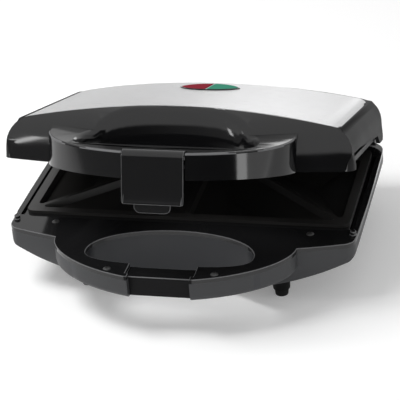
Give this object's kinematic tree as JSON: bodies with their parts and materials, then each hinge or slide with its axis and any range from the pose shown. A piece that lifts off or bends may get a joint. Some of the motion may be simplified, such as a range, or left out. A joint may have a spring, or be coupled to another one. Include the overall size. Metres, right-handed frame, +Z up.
{
  "type": "sandwich toaster",
  "caption": "Countertop sandwich toaster with two moulded halves, pocketed cooking plates, D-shaped handles with finger gaps and a swinging front latch.",
  "frame": {"origin": "middle of the footprint on the table, under the feet, with the lid ajar as stored", "axes": "+Z up, -Y to the handle and latch, +X to the right seen from the front"},
  "size_m": [0.241, 0.2212, 0.1286],
  "materials": {
    "satin_plastic": "satin moulded, dark grey",
    "gloss_plastic": "polished moulded, black",
    "matte_plastic": "matt moulded, black",
    "latch_plastic": "fine matt moulded, black",
    "brushed_cover": "brushed",
    "nonstick": "non-stick coating on cast aluminium",
    "heater_sheath": "oxidised steel tube",
    "bright_sheet": "bright rolled sheet",
    "red_lens": "clear moulded, red",
    "green_lens": "clear moulded, green",
    "white_plastic": "natural nylon",
    "lamp_glass": "small lamp bulbs",
    "ceramic": "unglazed",
    "lead_sleeve": "braided glass sleeve",
    "rubber": "moulded",
    "steel_fixings": "zinc plated"
  },
  "bodies": {
    "base": {"lower_casing": "satin_plastic", "deck_frame": "gloss_plastic", "deck_screws": "steel_fixings", "lower_plate": "nonstick", "lower_plate_screws": "steel_fixings", "lower_heater": "heater_sheath", "lower_heater_straps": "bright_sheet", "lower_reflector": "bright_sheet", "thermostat": "ceramic", "thermal_fuse": "white_plastic", "terminal_block": "ceramic", "lower_leads": "lead_sleeve", "casing_screws": "steel_fixings", "rubber_feet": "rubber", "cord_grommet": "rubber", "hinge_pins": "steel_fixings"},
    "lid": {"upper_casing": "gloss_plastic", "steel_cover": "brushed_cover", "lamp_bezel": "gloss_plastic", "red_lens": "red_lens", "green_lens": "green_lens", "lamp_holder": "white_plastic", "indicator_lamps": "lamp_glass", "lid_frame": "matte_plastic", "lid_frame_screws": "steel_fixings", "upper_plate": "nonstick", "upper_plate_screws": "steel_fixings", "upper_heater": "heater_sheath", "upper_heater_straps": "bright_sheet", "upper_reflector": "bright_sheet", "upper_leads": "lead_sleeve", "latch_pin": "steel_fixings"},
    "latch": {"latch": "latch_plastic"}
  },
  "joints": [
    {"name": "lid_hinge", "type": "hinge", "parent": "base", "child": "lid", "pos_m": [0, 0.1046, 0.045], "axis": [-1, 0, 0], "range_deg": [-17.5, 80]},
    {"name": "latch_hinge", "type": "hinge", "parent": "lid", "child": "latch", "pos_m": [0, -0.09325, 0.12384], "axis": [-1, 0, 0], "range_deg": [-5, 100]}
  ]
}
